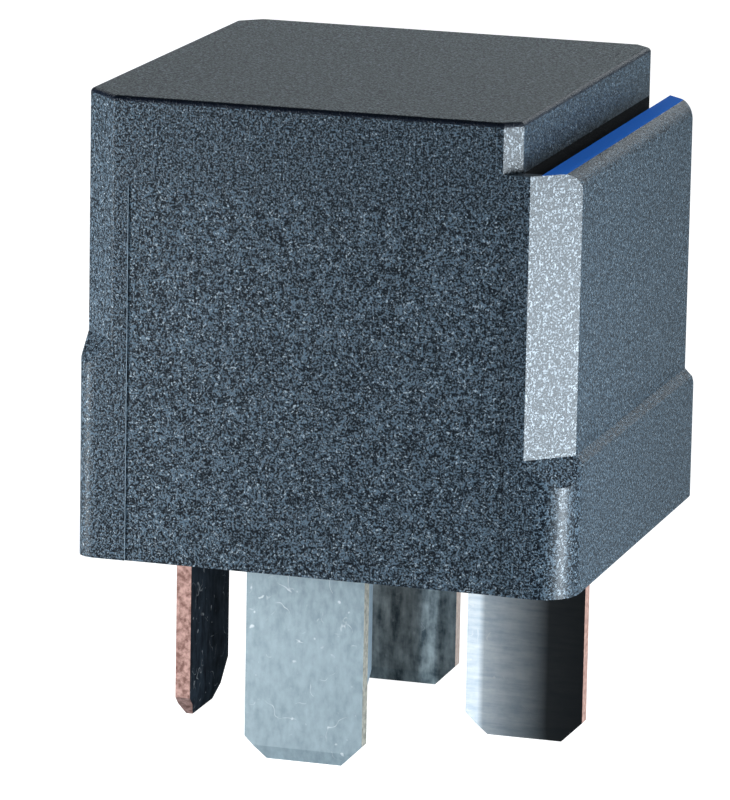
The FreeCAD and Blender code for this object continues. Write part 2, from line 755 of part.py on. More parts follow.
def make_moving_contact():
    top = "(armature_thick + spring_thick)"
    lower = crowned_head("moving_lower", "-contact_reach", LOWER_HEAD, "armature_thick", False)
    upper = crowned_head("moving_upper", "-contact_reach", top, UPPER_HEAD, True)
    shank = cylinder(
        "moving_shank", "contact_shank", "spring_thick + 0.4", "-contact_reach", "0", "armature_thick - 0.2"
    )
    contact = fused("moving_contact", [lower, shank, upper])
    hang_on_hinge(contact)
    return contact


def make_contact_87():
    low = f"{NO_TOP} - contact_high"
    return labelled(cylinder("contact_87", "contact_radius", "contact_high", CONTACT_X, "0", low))


def make_contact_87a():
    return labelled(cylinder("contact_87a", "contact_radius", "contact_high", CONTACT_X, "0", NC_LOW))


def labelled(thing):
    thing.Label = thing.Name
    return thing


def make_hinge_leg():
    """The spring's other end: it bends over the hinge edge and lies down the back of the yoke."""
    leg = new_body("hinge_leg")
    top = f"({HINGE_Z} + armature_thick + spring_thick)"
    clear = f"({YOKE_BACK} + armature_thick * sin(open_angle * 1 deg) + leg_clear)"
    profile = [
        (clear, top),
        (clear, YOKE_TOP),
        (YOKE_BACK, f"{YOKE_TOP} - leg_jog"),
        (YOKE_BACK, f"{YOKE_TOP} - leg_long"),
        (f"{YOKE_BACK} + spring_thick", f"{YOKE_TOP} - leg_long"),
        (f"{YOKE_BACK} + spring_thick", f"{YOKE_TOP} - leg_jog"),
        (f"{clear} + spring_thick", YOKE_TOP),
        (f"{clear} + spring_thick", top),
    ]
    pad(leg, "XZ", profile, "-spring_wide / 2", "spring_wide / 2")
    outer, high = number(f"{clear} + spring_thick"), number(top)

    def upper_edge(a, b):
        return near(a.x, outer) and near(b.x, outer) and near(a.z, high) and near(b.z, high)

    dress(leg, "Fillet", upper_edge, "leg_round")
    return leg


def make_yoke_rivets():
    rivets = []
    for y_side, name in ((-1, "front"), (1, "back")):
        place = f"{y_side} * rivet_pitch / 2"
        rivets.append(
            cylinder(
                f"yoke_rivet_{name}",
                "rivet_head",
                "rivet_high",
                f"{YOKE_BACK} + spring_thick",
                place,
                f"{YOKE_TOP} - leg_rivet_low",
                Vector(1, 0, 0),
            )
        )
    return grouped("yoke_rivets", rivets)


# ---------------------------------------------------------------- wires and resistor


def bent_wire(places, radius, bend):
    """A round wire along straight runs, with an arc of the bend radius at each corner."""
    edges = []
    start = places[0]
    for before, corner, after in zip(places, places[1:], places[2:]):
        way_in = (corner - before).normalize()
        way_out = (after - corner).normalize()
        turn = way_in.getAngle(way_out)
        cut = bend * math.tan(turn / 2)
        first, last = corner - way_in * cut, corner + way_out * cut
        inward = (way_out - way_in).normalize()
        middle = corner + inward * (bend / math.cos(turn / 2) - bend)
        edges.append(Part.LineSegment(start, first).toShape())
        edges.append(Part.Arc(first, middle, last).toShape())
        start = last
    edges.append(Part.LineSegment(start, places[-1]).toShape())
    path = Part.Wire(edges)
    circle = Part.Wire(Part.Circle(places[0], (places[1] - places[0]).normalize(), radius).toShape())
    return path.makePipeShell([circle], True, True)


def make_resistor():
    return labelled(
        cylinder(
            "resistor",
            "resistor_radius",
            "resistor_long",
            "-resistor_left",
            "-resistor_long / 2",
            "resistor_high",
            Vector(0, 1, 0),
        )
    )


def make_resistor_leads():
    """Two leads from the resistor's ends to the inner faces of the coil terminals' tongues."""
    left, high = -number("resistor_left"), number("resistor_high")
    wire, bend = number("wire_radius"), number("wire_bend")
    lug_x = number(COIL_BLADE_X) - number("lug_wide") / 4
    lug_face = number("pitch_coil / 2 - blade_thick / 2")
    solids = []
    for side in (-1, 1):
        places = [
            Vector(left, side * number("resistor_long / 2"), high),
            Vector(left, side * (lug_face - wire - bend), high),
            Vector(lug_x, side * (lug_face - wire), high),
        ]
        solids.append(bent_wire(places, wire, bend))
    leads = doc.addObject("Part::Feature", "resistor_leads")
    leads.Label = "resistor_leads"
    leads.Shape = Part.Compound(solids)
    return leads


def make_coil_leads():
    """The two ends of the winding, straight out to the coil terminals' tongues."""
    x = f"({COIL_BLADE_X} + lug_wide / 4)"
    reach = "(pitch_coil / 2 - blade_thick / 2)"
    spread = f"sqrt((flange_radius - winding_in)^2 - ({COIL_X} - {x} - lead_radius)^2)"
    long = f"{reach} - {spread}"
    leads = [
        cylinder(f"coil_lead_{name}", "lead_radius", long, x, start, "lead_high", Vector(0, 1, 0))
        for name, start in (("front", f"-{reach}"), ("back", spread))
    ]
    return grouped("coil_leads", leads)


# ---------------------------------------------------------------- the relay

NODES = [
    make_cover(),
    make_base_plate(),
    coil_terminal("terminal_86", -1),
    coil_terminal("terminal_85", 1),
    make_terminal_30(),
    make_terminal_87(),
    make_terminal_87a(),
    make_yoke(),
    make_core(),
    make_bobbin(),
    make_winding(),
    make_armature(),
    make_contact_spring(),
    make_armature_rivets(),
    make_moving_contact(),
    make_contact_87(),
    make_contact_87a(),
    make_hinge_leg(),
    make_yoke_rivets(),
    make_resistor(),
    make_resistor_leads(),
    make_coil_leads(),
]

doc.recompute()

for thing in doc.Objects:
    if {"Invalid", "Error"} & set(thing.State):
        raise ValueError(f"{thing.Label} failed: {thing.State}")
for node in NODES:
    if node.Shape.isNull() or not node.Shape.isValid():
        raise ValueError(f"{node.Label} has no valid shape")

os.makedirs("parts", exist_ok=True)
for node in NODES:
    node.Shape.exportStep(f"parts/{node.Label}.step")
    print(f"{node.Label}: {len(node.Shape.Solids)} solid(s), {node.Shape.Volume:.2f} mm3")
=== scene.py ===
# %% [markdown]
# # A closed plug-in relay
#
# The relay is a square black moulded cover standing on five flat blades. A magnet, an armature and its
# contacts sit inside. The lesson loads the measured solids, gives every one a finish of its own, models
# what the solids leave plain, and lights the whole as on a product table.

import math

import bpy
from mathutils import Matrix, Vector


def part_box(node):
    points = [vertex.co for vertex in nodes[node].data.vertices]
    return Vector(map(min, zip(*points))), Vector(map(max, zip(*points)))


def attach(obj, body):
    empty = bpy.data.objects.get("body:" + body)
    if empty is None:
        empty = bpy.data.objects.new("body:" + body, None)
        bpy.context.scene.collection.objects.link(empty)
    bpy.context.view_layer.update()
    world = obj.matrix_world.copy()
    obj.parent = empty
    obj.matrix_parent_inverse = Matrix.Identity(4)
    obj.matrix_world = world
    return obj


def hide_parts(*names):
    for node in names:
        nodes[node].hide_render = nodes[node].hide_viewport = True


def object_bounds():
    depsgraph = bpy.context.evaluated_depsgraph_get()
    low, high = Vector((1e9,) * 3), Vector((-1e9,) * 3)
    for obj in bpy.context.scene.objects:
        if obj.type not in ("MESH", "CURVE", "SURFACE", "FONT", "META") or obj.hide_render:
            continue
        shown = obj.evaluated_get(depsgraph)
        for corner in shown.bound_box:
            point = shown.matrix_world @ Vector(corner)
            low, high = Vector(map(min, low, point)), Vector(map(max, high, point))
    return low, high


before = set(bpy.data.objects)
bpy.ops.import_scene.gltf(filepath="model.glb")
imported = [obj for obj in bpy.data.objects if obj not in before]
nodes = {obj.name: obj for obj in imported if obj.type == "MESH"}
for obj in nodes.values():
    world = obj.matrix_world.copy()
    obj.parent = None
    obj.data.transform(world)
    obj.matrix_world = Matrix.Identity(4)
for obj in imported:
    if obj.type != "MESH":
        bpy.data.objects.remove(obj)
cad_box = [list(corner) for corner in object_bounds()]
MM = 0.001
box_mm = [[round(v / MM, 2) for v in corner] for corner in cad_box]
print("nodes:", len(nodes), "box in mm:", box_mm)

# %% [markdown]
# ## Places to measure from
#
# Every place below comes from the solids themselves, so a finish or a new piece stays where it belongs if
# a size changes. The rail is the outer wall of the bracket slot, and its flat top is called the land.

# %% Read the places of the cover's features
cover_low, cover_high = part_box("cover")
base_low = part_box("base_plate")[0]
winding_low, winding_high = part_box("winding")
FLOOR_Z = cad_box[0][2]
ROOF_Z = cover_high[2]
RAIL_RIGHT = cover_high[0] - 0.4 * MM
BLOCK_RIGHT = RAIL_RIGHT - 2.70 * MM
LAND_LEFT = BLOCK_RIGHT + 1.02 * MM
LEDGE_Z = ROOF_Z - 2.55 * MM
SLOT_DEPTH = 11.5 * MM
SLOT_FRONT_Y = cover_low[1] + 0.79 * MM
RECESS_Y = cover_low[1] + 0.1 * MM
SKIN = 0.02 * MM
print("floor at", round(FLOOR_Z / MM, 2), "mm, roof at", round(ROOF_Z / MM, 2), "mm")

# %% [markdown]
# ## Working with shader nodes in code
#
# A material is a small network. Writing each node as one short call keeps a recipe readable: the call
# names the kind of node, then says what goes into it. A plain value is set, and another node's output is
# linked.


# %% Helpers for shader nodes
def colour(red, green, blue):
    """A colour from its 0 to 255 display values, as the linear values that a shader works in."""
    linear = []
    for value in (red, green, blue):
        part = value / 255
        linear.append(part / 12.92 if part <= 0.04045 else ((part + 0.055) / 1.055) ** 2.4)
    return (*linear, 1.0)


def feed(tree, socket, value):
    if isinstance(value, bpy.types.NodeSocket):
        tree.links.new(value, socket)
    else:
        socket.default_value = value


def add(tree, kind, inputs=None, **settings):
    made = tree.nodes.new(kind)
    for key, value in settings.items():
        setattr(made, key, value)
    for key, value in (inputs or {}).items():
        feed(tree, made.inputs[key], value)
    return made


def calc(tree, operation, first, second=0.0, clamp=False):
    made = add(tree, "ShaderNodeMath", {0: first, 1: second}, operation=operation, use_clamp=clamp)
    return made.outputs[0]


def blend(tree, amount, first, second, way="MIX"):
    made = add(tree, "ShaderNodeMix", {0: amount, 6: first, 7: second}, data_type="RGBA", blend_type=way)
    return made.outputs[2]


def remap(tree, value, low, high, new_low=0.0, new_high=1.0):
    inputs = {"Value": value, "From Min": low, "From Max": high, "To Min": new_low, "To Max": new_high}
    return add(tree, "ShaderNodeMapRange", inputs).outputs["Result"]


def noise(tree, place, scale, detail=2.0, roughness=0.5):
    inputs = {"Vector": place, "Scale": scale, "Detail": detail, "Roughness": roughness}
    return add(tree, "ShaderNodeTexNoise", inputs).outputs["Fac"]


def times(tree, *values):
    """The product of several numbers. A product of masks is 1 only where all of them are."""
    product = values[0]
    for value in values[1:]:
        product = calc(tree, "MULTIPLY", product, value)
    return product


def above(tree, value, limit):
    return calc(tree, "GREATER_THAN", value, limit)


def below(tree, value, limit):
    return calc(tree, "LESS_THAN", value, limit)


def switch(tree, mask, first, second):
    """The first number where the mask is 0, and the second where it is 1."""
    return add(tree, "ShaderNodeMix", {0: mask, 2: first, 3: second}, data_type="FLOAT").outputs[0]


def raise_pattern(tree, shader, height, strength, depth):
    """Turns a height pattern into small bumps of the given depth."""
    bump = add(tree, "ShaderNodeBump", {"Strength": strength, "Distance": depth, "Height": height})
    feed(tree, shader.inputs["Normal"], bump.outputs["Normal"])


def new_group(name, inputs, outputs):
    """An empty node group with named sockets. Returns its tree, its inputs and its output node."""
    group = bpy.data.node_groups.new(name, "ShaderNodeTree")
    for label, kind, value in inputs:
        socket = group.interface.new_socket(name=label, in_out="INPUT", socket_type=kind)
        socket.default_value = value
    for label, kind in outputs:
        group.interface.new_socket(name=label, in_out="OUTPUT", socket_type=kind)
    return group, group.nodes.new("NodeGroupInput").outputs, group.nodes.new("NodeGroupOutput")


NUMBER, TINT, ARROW = "NodeSocketFloat", "NodeSocketColor", "NodeSocketVector"


def new_material(name):
    """A material with its shader, and the object coordinates that its patterns follow."""
    material = bpy.data.materials.new(name)
    material.use_nodes = True
    tree = material.node_tree
    shader = tree.nodes["Principled BSDF"]
    places = tree.nodes.new("ShaderNodeTexCoord").outputs
    return material, tree, shader, places


def use_group(tree, group, inputs):
    made = add(tree, "ShaderNodeGroup", None, node_tree=group)
    for key, value in inputs.items():
        feed(tree, made.inputs[key], value)
    return made.outputs


def wear_finish(node_name, material):
    """Puts one finish on a measured solid."""
    slots = nodes[node_name].material_slots
    if not slots:
        nodes[node_name].data.materials.append(material)
    for slot in slots:
        slot.material = material


# %% [markdown]
# ## The grain of a moulded cover, with painted glints
#
# The tool that moulds the cover is spark-eroded, which leaves fine pits a tenth of a millimetre apart.
# Light catches their rims, so the plastic looks speckled, not flat. The colour sets the rims lighter than
# the pits, partly as the grain's own tone and partly as painted highlight. Two sizes of noise make the
# pits, and a third paints pale glints on a few rims into the colour, a painted highlight. The same pattern
# drives colour, roughness and bump, because on the real surface they are one thing. A group lets the
# cover, the base plate and the seal use it at their own scale.

# %% The moulded grain group
grain_glint_group, grain_in, grain_out = new_group(
    "moulded_grain_and_glints",
    [
        ("Place", ARROW, (0, 0, 0)),
        ("Pits per metre", NUMBER, 5200.0),
        ("Contrast", NUMBER, 1.0),
        ("Dark", TINT, colour(20, 28, 40)),
        ("Light", TINT, colour(120, 135, 150)),
    ],
    [("Color", TINT), ("Height", NUMBER), ("Roughness", NUMBER)],
)
fine = noise(grain_glint_group, grain_in["Place"], grain_in["Pits per metre"], 2.0, 0.5)
coarse_scale = times(grain_glint_group, grain_in["Pits per metre"], 0.43)
coarse = noise(grain_glint_group, grain_in["Place"], coarse_scale, 1.0, 0.5)
pits = calc(grain_glint_group, "ADD", times(grain_glint_group, fine, 0.72), times(grain_glint_group, coarse, 0.28))
spread = times(grain_glint_group, calc(grain_glint_group, "SUBTRACT", pits, 0.5), grain_in["Contrast"])
rims = calc(grain_glint_group, "ADD", times(grain_glint_group, spread, 4.5), 0.5, clamp=True)
rims = calc(grain_glint_group, "POWER", rims, 2.0)
# The rims are set lighter than the pits in the colour: partly the grain's own tone, partly painted
# highlight.
grain_glint_colour = blend(grain_glint_group, rims, grain_in["Dark"], grain_in["Light"])
# Painted highlight: pale glints on a few rims, mixed into the colour.
glint_scale = times(grain_glint_group, grain_in["Pits per metre"], 0.8)
painted_glint = remap(grain_glint_group, noise(grain_glint_group, grain_in["Place"], glint_scale, 1.0, 0.5), 0.63, 0.76)
glint_strength = times(grain_glint_group, grain_in["Contrast"], 0.5)
painted_glint = calc(grain_glint_group, "MULTIPLY", painted_glint, glint_strength, clamp=True)
grain_glint_colour = blend(grain_glint_group, painted_glint, grain_glint_colour, colour(160, 174, 184))
feed(grain_glint_group, grain_out.inputs["Color"], grain_glint_colour)
feed(grain_glint_group, grain_out.inputs["Height"], rims)
feed(grain_glint_group, grain_out.inputs["Roughness"], remap(grain_glint_group, rims, 0.0, 1.0, 0.38, 0.27))
print("group:", grain_glint_group.name)

# %% [markdown]
# ## The cover's finish, with painted light and shade
#
# The sides carry the full grain. The roof has the grain at its own scale and a rougher finish, and its
# colour is set lighter and greyer than the sides, painted light on the top. The land on top of the rail
# was left smooth, and its saturated blue colour is a painted reflection. The rounded edge round the roof
# and the inside of the bracket slot are painted near-black as shade, the edge of the front's recess
# carries a painted pale highlight line, and the corner flats that face right have a gloss of their own.
# The masks come from object coordinates and from the face's own direction, so they stay on the cover
# from every side.

# %% Cover plastic
def cover_plastic():
    material, tree, shader, places = new_material("cover_plastic")
    side = use_group(
        tree,
        grain_glint_group,
        {
            "Place": places["Object"],
            "Pits per metre": 10000.0,
            "Contrast": 1.2,
            "Dark": colour(0, 2, 8),
            "Light": colour(74, 90, 103),
        },
    )
    # The roof's grain colours are lighter and greyer than the sides': painted light on the top.
    roof = use_group(
        tree,
        grain_glint_group,
        {
            "Place": places["Object"],
            "Pits per metre": 9000.0,
            "Contrast": 1.6,
            "Dark": colour(26, 38, 44),
            "Light": colour(116, 126, 128),
        },
    )
    facing = add(tree, "ShaderNodeSeparateXYZ", {0: places["Normal"]}).outputs
    place = add(tree, "ShaderNodeSeparateXYZ", {0: places["Object"]}).outputs
    roof_level = remap(tree, facing["Z"], 0.90, 0.97)
    on_roof = times(tree, roof_level, above(tree, place["Z"], ROOF_Z - 1 * MM))
    level = above(tree, facing["Z"], 0.98)
    high = above(tree, place["Z"], LEDGE_Z - 0.2 * MM)
    painted_blue_land = times(tree, level, high, above(tree, place["X"], LAND_LEFT))
    slot_shade_mask = times(
        tree,
        above(tree, place["X"], BLOCK_RIGHT - SKIN),
        below(tree, place["Z"], LEDGE_Z - SKIN),
        below(tree, place["X"], LAND_LEFT - SKIN / 2),
        above(tree, place["Y"], SLOT_FRONT_Y),
        above(tree, place["Z"], LEDGE_Z - SLOT_DEPTH - SKIN),
    )
    near_roof = above(tree, place["Z"], ROOF_Z - 0.24 * MM)
    roof_edge_shade_mask = times(tree, near_roof, below(tree, facing["Z"], 0.94))
    border_highlight_mask = times(tree, below(tree, place["Y"], RECESS_Y), above(tree, facing["X"], 0.9))
    # Painted light: the roof takes its lighter, greyer grain colour.
    plastic = blend(tree, on_roof, side["Color"], roof["Color"])
    # Painted reflection: the land on the rail is coloured saturated blue.
    plastic = blend(tree, painted_blue_land, plastic, colour(10, 120, 235))
    # Painted shade: the inside of the bracket slot is near-black.
    plastic = blend(tree, slot_shade_mask, plastic, colour(2, 2, 4))
    # Painted shade: the rounded edge round the roof is near-black.
    plastic = blend(tree, roof_edge_shade_mask, plastic, colour(2, 9, 24))
    # Painted highlight: a pale line on the right-facing step of the front's recess.
    plastic = blend(tree, border_highlight_mask, plastic, colour(150, 166, 178))
    feed(tree, shader.inputs["Base Color"], plastic)
    rough = switch(tree, on_roof, side["Roughness"], 0.55)
    rough = switch(tree, painted_blue_land, rough, 0.85)
    feed(tree, shader.inputs["Roughness"], switch(tree, slot_shade_mask, rough, 1.0))
    height = times(tree, side["Height"], calc(tree, "SUBTRACT", 1.0, painted_blue_land))
    raise_pattern(tree, shader, height, 0.65, 0.03 * MM)
    corner = times(tree, facing["X"], calc(tree, "ABSOLUTE", facing["Y"]))
    on_flat = remap(tree, corner, 0.26, 0.40)
    sparkle = remap(tree, side["Height"], 0.3, 0.65, 0.36, 0.90)
    feed(tree, shader.inputs["Coat Weight"], times(tree, on_flat, sparkle))
    shader.inputs["Coat Roughness"].default_value = 0.36
    shader.inputs["Coat IOR"].default_value = 1.5
    shader.inputs["Specular IOR Level"].default_value = 0.2
    shader.inputs["Specular Tint"].default_value = (0.80, 0.92, 1.0, 1.0)
    return material


wear_finish("cover", cover_plastic())
print("cover finished")

# %% [markdown]
# ## Tin-plated strip with sheared edges
#
# The blades are stamped from copper alloy strip that was tinned before it was cut. So the broad faces are
# grey tin, drawn in long streaks, and the narrow cut edges show bare copper. One group makes the tin:
# streaks, dull blotches, small bright nicks and curved scratches. A second group finds the cut edges from
# the face's own direction. The light and dark bands across two of the blades are painted reflections, the
# bands that a mirror-like face shows, multiplied into the tin's colour. Blade 87's tin is set near-black,
# a painted dark reflection.

# %% The tin group and the cut-edge group
tin_group, tin_in, tin_out = new_group(
    "drawn_tin",
    [
        ("Place", ARROW, (0, 0, 0)),
        ("Streak stretch", ARROW, (1, 1, 1)),
        ("Streaks per metre", NUMBER, 3000.0),
        ("Pale", TINT, colour(190, 205, 212)),
        ("Dull", TINT, colour(120, 134, 142)),
        ("Nicks", NUMBER, 0.5),
    ],
    [("Color", TINT), ("Height", NUMBER), ("Roughness", NUMBER)],
)
drawn_place = add(
    tin_group,
    "ShaderNodeVectorMath",
    {0: tin_in["Place"], 1: tin_in["Streak stretch"]},
    operation="MULTIPLY",
)
streak = noise(tin_group, drawn_place.outputs[0], tin_in["Streaks per metre"], 3.0, 0.6)
blotch = noise(tin_group, tin_in["Place"], 1100.0, 4.0, 0.65)
tone = calc(tin_group, "ADD", times(tin_group, streak, 0.55), times(tin_group, blotch, 0.45))
tone = remap(tin_group, tone, 0.36, 0.64)
nick_field = noise(tin_group, tin_in["Place"], 2400.0, 1.0, 0.5)
nick = times(tin_group, remap(tin_group, nick_field, 0.72, 0.78), tin_in["Nicks"])
line_field = noise(tin_group, tin_in["Place"], 520.0, 2.0, 0.5)
off_line = calc(tin_group, "ABSOLUTE", calc(tin_group, "SUBTRACT", line_field, 0.5))
on_line = remap(tin_group, off_line, 0.001, 0.007, 1.0, 0.0)
gaps = remap(tin_group, noise(tin_group, tin_in["Place"], 780.0, 3.0, 0.7), 0.52, 0.62)
scratch = times(tin_group, on_line, gaps, tin_in["Nicks"])
marks = calc(tin_group, "MAXIMUM", nick, scratch)
tin_colour = blend(tin_group, tone, tin_in["Dull"], tin_in["Pale"])
tin_colour = blend(tin_group, marks, tin_colour, (0.95, 0.96, 0.97, 1.0))
feed(tin_group, tin_out.inputs["Color"], tin_colour)
feed(tin_group, tin_out.inputs["Height"], calc(tin_group, "ADD", times(tin_group, streak, 0.7), marks))
feed(tin_group, tin_out.inputs["Roughness"], remap(tin_group, tone, 0.0, 1.0, 0.1, -0.05))

edge_group, edge_in, edge_out = new_group(
    "cut_edge",
    [("Facing", ARROW, (0, 0, 1)), ("Across", ARROW, (1, 0, 0))],
    [("Mask", NUMBER)],
)
turned = add(
    edge_group,
    "ShaderNodeVectorMath",
    {0: edge_in["Facing"], 1: edge_in["Across"]},
    operation="DOT_PRODUCT",
)
sideways = calc(edge_group, "ABSOLUTE", turned.outputs["Value"])
feed(edge_group, edge_out.inputs["Mask"], remap(edge_group, sideways, 0.55, 0.75))
print("groups:", tin_group.name, edge_group.name)


# %% Blade finishes
def blade_finish(name, across, pale, dull, edge, stretch, streaks, rough, metal, nicks, shine, painted_bands=None):
    """Tin on the broad faces and another colour on the cut edges. The optional bands along X are painted
    reflections.
    """
    material, tree, shader, places = new_material(name)
    tin = use_group(
        tree,
        tin_group,
        {
            "Place": places["Object"],
            "Streak stretch": stretch,
            "Streaks per metre": streaks,
            "Pale": pale,
            "Dull": dull,
            "Nicks": nicks,
        },
    )
    cut = use_group(tree, edge_group, {"Facing": places["Normal"], "Across": across})["Mask"]
    copper_tone = noise(tree, places["Object"], 3600.0, 3.0, 0.6)
    copper = blend(tree, remap(tree, copper_tone, 0.35, 0.65), edge[0], edge[1])
    tin_colour = tin["Color"]
    # Painted reflection: light and dark bands across the blade multiply the tin's colour.
    if painted_bands:
        low, high, stops = painted_bands
        place = add(tree, "ShaderNodeSeparateXYZ", {0: places["Object"]}).outputs
        ramp = tree.nodes.new("ShaderNodeValToRGB")
        feed(tree, ramp.inputs["Fac"], remap(tree, place["X"], low, high))
        marks = ramp.color_ramp.elements
        for where, strength in stops[1:-1]:
            marks.new(where).color = (strength, strength, strength, 1)
        for mark, (where, strength) in ((marks[0], stops[0]), (marks[-1], stops[-1])):
            mark.position = where
            mark.color = (strength, strength, strength, 1)
        tin_colour = blend(tree, 1.0, tin_colour, ramp.outputs["Color"], "MULTIPLY")
    feed(tree, shader.inputs["Base Color"], blend(tree, cut, tin_colour, copper))
    shader.inputs["Metallic"].default_value = metal
    shader.inputs["Specular IOR Level"].default_value = shine
    feed(tree, shader.inputs["Roughness"], calc(tree, "ADD", tin["Roughness"], rough, clamp=True))
    raise_pattern(tree, shader, tin["Height"], 0.35, 0.01 * MM)
    return material


ALONG_X, ALONG_Y = (1.0, 0.0, 0.0), (0.0, 1.0, 0.0)
COPPER_EDGE = (colour(108, 80, 74), colour(168, 136, 128))
CREAM_EDGE = (colour(150, 146, 134), colour(206, 200, 186))
PINK_EDGE = (colour(214, 180, 162), colour(246, 216, 198))
BLADE = 6.3 * MM
left_30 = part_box("terminal_30")[1][0] - BLADE
left_85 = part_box("terminal_85")[1][0] - BLADE
# Each stop is a place across the blade, from 0 to 1, and the brightness that the painted reflection gives
# the tin there. On blade 30 it paints a white band at the left that fades to near-black, and on blade 85
# a bright stripe right of the middle.
REFLECTION_BANDS_30 = [(0, 1), (0.10, 1), (0.15, 0.45), (0.35, 0.26), (0.58, 0.1), (0.70, 0.015), (1, 0.008)]
REFLECTION_BANDS_85 = [(0, 0.6), (0.26, 0.5), (0.42, 0.31), (0.61, 0.31), (0.67, 0.45)]
REFLECTION_BANDS_85 += [(0.71, 1), (0.81, 1), (0.86, 0.43), (1, 0.38)]
tin_86 = blade_finish(
    "tin_86",
    across=ALONG_X,
    pale=colour(164, 178, 184),
    dull=colour(132, 147, 154),
    edge=CREAM_EDGE,
    stretch=(1.0, 1.0, 0.45),
    streaks=2600.0,
    rough=0.5,
    metal=0.75,
    nicks=0.5,
    shine=0.5,
)
tin_85 = blade_finish(
    "tin_85",
    across=ALONG_X,
    pale=colour(214, 220, 218),
    dull=colour(90, 102, 108),
    edge=PINK_EDGE,
    stretch=(1.0, 1.0, 0.25),
    streaks=1900.0,
    rough=0.34,
    metal=0.9,
    nicks=0.2,
    shine=0.5,
    painted_bands=(left_85, left_85 + BLADE, REFLECTION_BANDS_85),
)
tin_30 = blade_finish(
    "tin_30",
    across=ALONG_X,
    pale=colour(250, 253, 255),
    dull=colour(206, 218, 228),
    edge=(colour(168, 124, 110), colour(210, 166, 150)),
    stretch=(0.12, 1.0, 1.0),
    streaks=4200.0,
    rough=0.4,
    metal=0.5,
    nicks=0.9,
    shine=0.2,
    painted_bands=(left_30, left_30 + BLADE, REFLECTION_BANDS_30),
)
# Painted dark reflection: blade 87's tin is set near-black.
tin_87 = blade_finish(
    "tin_87",
    across=ALONG_Y,
    pale=colour(30, 38, 46),
    dull=colour(8, 12, 18),
    edge=COPPER_EDGE,
    stretch=(1.0, 1.0, 0.3),
    streaks=2200.0,
    rough=0.75,
    metal=0.0,
    nicks=0.2,
    shine=0.05,
)
tin_87a = blade_finish(
    "tin_87a",
    across=ALONG_Y,
    pale=colour(214, 230, 240),
    dull=colour(190, 206, 218),
    edge=COPPER_EDGE,
    stretch=(1.0, 1.0, 0.4),
    streaks=2400.0,
    rough=0.45,
    metal=0.8,
    nicks=0.3,
    shine=0.5,
)
for terminal, finish in {
    "terminal_86": tin_86,
    "terminal_85": tin_85,
    "terminal_30": tin_30,
    "terminal_87": tin_87,
    "terminal_87a": tin_87a,
}.items():
    wear_finish(terminal, finish)
print("blades finished")

# %% [markdown]
# ## Metal parts inside
#
# The yoke, core and armature are soft iron with a zinc plate, rolled before it was bent, so it has fine
# lines. The contact spring is bronze and the contact heads are silver. All of them use the drawn metal
# group with their own colours, because a rolled sheet and a drawn blade carry the same kind of mark.


# %% Inside metals and their finishes
def drawn_metal(name, pale, dull, stretch, streaks, rough):
    material, tree, shader, places = new_material(name)
    metal = use_group(
        tree,
        tin_group,
        {
            "Place": places["Object"],
            "Streak stretch": stretch,
            "Streaks per metre": streaks,
            "Pale": pale,
            "Dull": dull,
            "Nicks": 0.1,
        },
    )
    feed(tree, shader.inputs["Base Color"], metal["Color"])
    shader.inputs["Metallic"].default_value = 1.0
    feed(tree, shader.inputs["Roughness"], calc(tree, "ADD", metal["Roughness"], rough, clamp=True))
    raise_pattern(tree, shader, metal["Height"], 0.25, 0.01 * MM)
    return material


ROLLED, DRAWN_BACK, DRAWN_UP, EVEN = (1.0, 0.15, 1.0), (1.0, 0.2, 1.0), (1.0, 1.0, 0.3), (1.0, 1.0, 1.0)
zinc = drawn_metal(
    "zinc_plate",
    pale=colour(205, 205, 196),
    dull=colour(166, 168, 162),
    stretch=ROLLED,
    streaks=2600.0,
    rough=0.34,
)
bronze = drawn_metal(
    "spring_bronze",
    pale=colour(214, 160, 104),
    dull=colour(176, 122, 76),
    stretch=(0.1, 1.0, 1.0),
    streaks=3000.0,
    rough=0.3,
)
silver = drawn_metal(
    "contact_silver",
    pale=colour(232, 230, 224),
    dull=colour(196, 196, 190),
    stretch=EVEN,
    streaks=2400.0,
    rough=0.25,
)
rivet_steel = drawn_metal(
    "rivet_steel",
    pale=colour(196, 196, 192),
    dull=colour(150, 152, 150),
    stretch=EVEN,
    streaks=3000.0,
    rough=0.32,
)
tinned_wire = drawn_metal(
    "tinned_wire",
    pale=colour(206, 210, 212),
    dull=colour(160, 166, 170),
    stretch=DRAWN_BACK,
    streaks=4000.0,
    rough=0.3,
)
enamel = drawn_metal(
    "enamelled_copper",
    pale=colour(196, 98, 48),
    dull=colour(140, 62, 30),
    stretch=DRAWN_UP,
    streaks=3000.0,
    rough=0.3,
)
for node_name, material in {
    "yoke": zinc,
    "core": zinc,
    "armature": zinc,
    "contact_spring": bronze,
    "hinge_leg": bronze,
    "armature_rivets": rivet_steel,
    "yoke_rivets": rivet_steel,
    "moving_contact": silver,
    "contact_87": silver,
    "contact_87a": silver,
    "resistor_leads": tinned_wire,
    "coil_leads": enamel,
    "winding": enamel,
}.items():
    wear_finish(node_name, material)


# %% Inside plastics and the resistor
def moulded_plastic(name, dark, light, pits, contrast, rough, bump_strength):
    material, tree, shader, places = new_material(name)
    grain = use_group(
        tree,
        grain_glint_group,
        {
            "Place": places["Object"],
            "Pits per metre": pits,
            "Contrast": contrast,
            "Dark": dark,
            "Light": light,
        },
    )
    feed(tree, shader.inputs["Base Color"], grain["Color"])
    feed(tree, shader.inputs["Roughness"], calc(tree, "ADD", grain["Roughness"], rough, clamp=True))
    raise_pattern(tree, shader, grain["Height"], bump_strength, 0.02 * MM)
    return material


